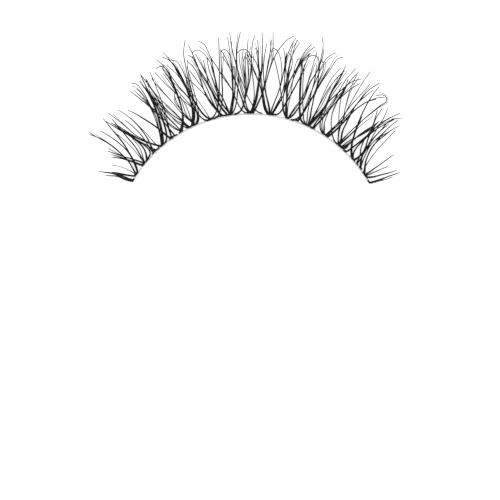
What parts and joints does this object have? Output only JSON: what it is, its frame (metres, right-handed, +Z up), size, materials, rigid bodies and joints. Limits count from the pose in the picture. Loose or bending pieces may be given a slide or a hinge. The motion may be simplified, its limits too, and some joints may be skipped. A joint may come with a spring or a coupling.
{
  "type": "false eyelash strip",
  "caption": "False eyelash strip: a thin clear band curved to the eyelid, carrying knotted fans of curled black lash fibre that cross in V shapes and thin out at the tips.",
  "frame": {"origin": "middle of the band's underside, where the strip's middle sits on the lid line", "axes": "+X along the lid to the right, +Y outward from the lid towards the lash tips, +Z up, the way the lashes curl"},
  "size_m": [0.0361, 0.0173, 0.0048],
  "materials": {
    "clear_band": "clear, lightly glossy",
    "lash_fibre": "satin black fibre, thinning to grey at the tips"
  },
  "bodies": {
    "root": {"band": "clear_band", "lash_cluster_01": "lash_fibre", "lash_cluster_02": "lash_fibre", "lash_cluster_03": "lash_fibre", "lash_cluster_04": "lash_fibre", "lash_cluster_05": "lash_fibre", "lash_cluster_06": "lash_fibre", "lash_cluster_07": "lash_fibre", "lash_cluster_08": "lash_fibre", "lash_cluster_09": "lash_fibre", "lash_cluster_10": "lash_fibre", "lash_cluster_11": "lash_fibre", "lash_cluster_12": "lash_fibre", "lash_cluster_13": "lash_fibre", "lash_cluster_14": "lash_fibre", "lash_cluster_15": "lash_fibre", "lash_cluster_16": "lash_fibre", "lash_cluster_17": "lash_fibre", "lash_cluster_18": "lash_fibre", "lash_cluster_19": "lash_fibre", "lash_cluster_20": "lash_fibre", "lash_cluster_21": "lash_fibre", "lash_cluster_22": "lash_fibre", "lash_cluster_23": "lash_fibre", "lash_cluster_24": "lash_fibre", "lash_cluster_25": "lash_fibre", "lash_cluster_26": "lash_fibre", "lash_cluster_27": "lash_fibre", "lash_cluster_28": "lash_fibre", "lash_cluster_29": "lash_fibre", "lash_cluster_30": "lash_fibre", "lash_cluster_31": "lash_fibre", "lash_cluster_32": "lash_fibre", "lash_cluster_33": "lash_fibre", "lash_cluster_34": "lash_fibre", "lash_cluster_35": "lash_fibre"}
  },
  "joints": []
}
